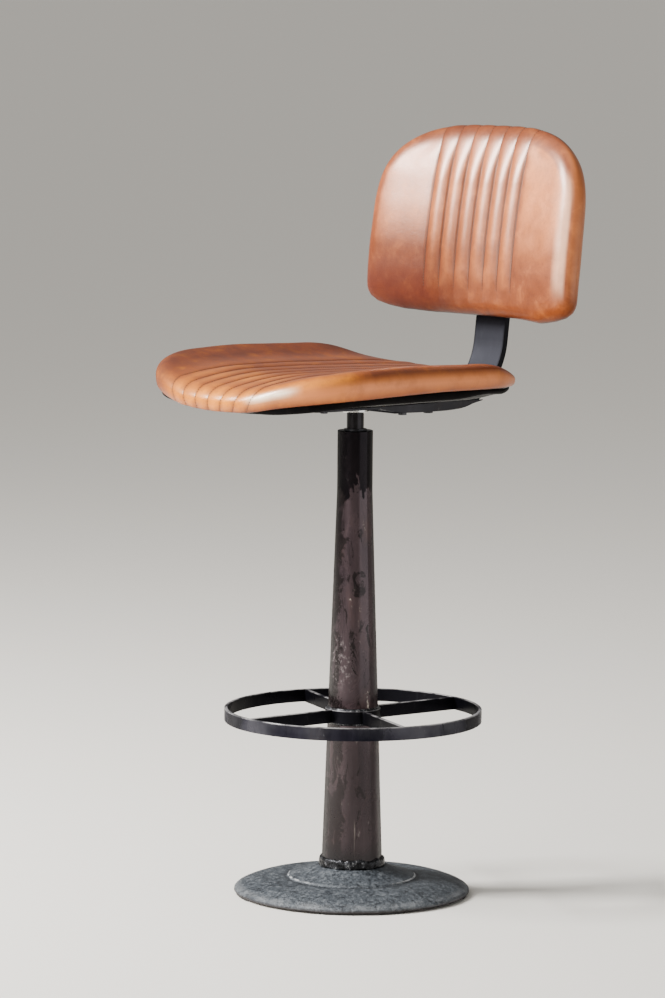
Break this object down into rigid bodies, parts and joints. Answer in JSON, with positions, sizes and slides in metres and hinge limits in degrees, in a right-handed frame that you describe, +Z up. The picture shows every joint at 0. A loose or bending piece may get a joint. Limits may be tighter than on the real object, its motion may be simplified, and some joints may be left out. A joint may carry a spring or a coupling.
{
  "type": "bar chair",
  "caption": "Bar-height swivel chair: channelled leather seat and low back, bent flat-bar back support, tapered column with a ring footrest, and a round cast foot.",
  "frame": {"origin": "on the floor under the column's axis, which is also the seat's turning axis; within a few millimetres of the middle of the whole chair's footprint", "axes": "+Z up; the sitter faces -Y and the back is on the +Y side; +X is the sitter's left"},
  "size_m": [0.4472, 0.5817, 1.1361],
  "materials": {
    "cast_foot": "rough, blue-grey lacquer with a worn rim",
    "foot_rubber": "matt",
    "column_paint": "dark brown-black lacquer over raw steel, worn in places",
    "ring_metal": "black, satin, edges rubbed bright",
    "plain_steel": "plain",
    "bush_brass": "plain",
    "stem_metal": "dark, polished",
    "bright_metal": "bright",
    "black_metal": "satin black",
    "bar_metal": "blue-grey raw-steel look, satin",
    "bar_fasteners": "dark",
    "screw_metal": "dark",
    "shell_wood": "moulded wood, painted black",
    "foam": "upholstery foam, hidden",
    "tan_leather": "cognac pull-up leather, semi-gloss"
  },
  "bodies": {
    "stand": {"base_casting": "cast_foot", "glide_pads": "foot_rubber", "column_tube": "column_paint", "column_weld": "cast_foot", "column_foot_disc": "plain_steel", "tie_bolt": "plain_steel", "tie_washer": "plain_steel", "upper_bush": "bush_brass", "lower_bush": "bush_brass", "thrust_plug": "plain_steel", "thrust_ball": "plain_steel", "ring_hoop": "ring_metal", "ring_collar": "ring_metal", "ring_spokes": "ring_metal", "ring_weld": "ring_metal"},
    "seat_assembly": {"swivel_stem": "stem_metal", "stem_clip": "plain_steel", "stem_flange": "bright_metal", "seat_carrier": "black_metal", "back_bar": "bar_metal", "carrier_bolts": "black_metal", "insert_nuts": "bush_brass", "bar_bolts": "bar_fasteners", "bar_washers": "bar_fasteners", "bar_nuts": "plain_steel", "seat_pan": "shell_wood", "seat_foam": "foam", "seat_cover": "tan_leather", "back_board": "shell_wood", "back_foam": "foam", "back_front_cover": "tan_leather", "back_rear_pad": "foam", "back_rear_cover": "tan_leather", "back_sleeves": "plain_steel", "back_screws": "screw_metal", "back_nuts": "plain_steel"}
  },
  "joints": [
    {"name": "seat_swivel", "type": "hinge", "parent": "stand", "child": "seat_assembly", "pos_m": [0, 0, 0.7], "axis": [0, 0, 1], "continuous": true}
  ]
}
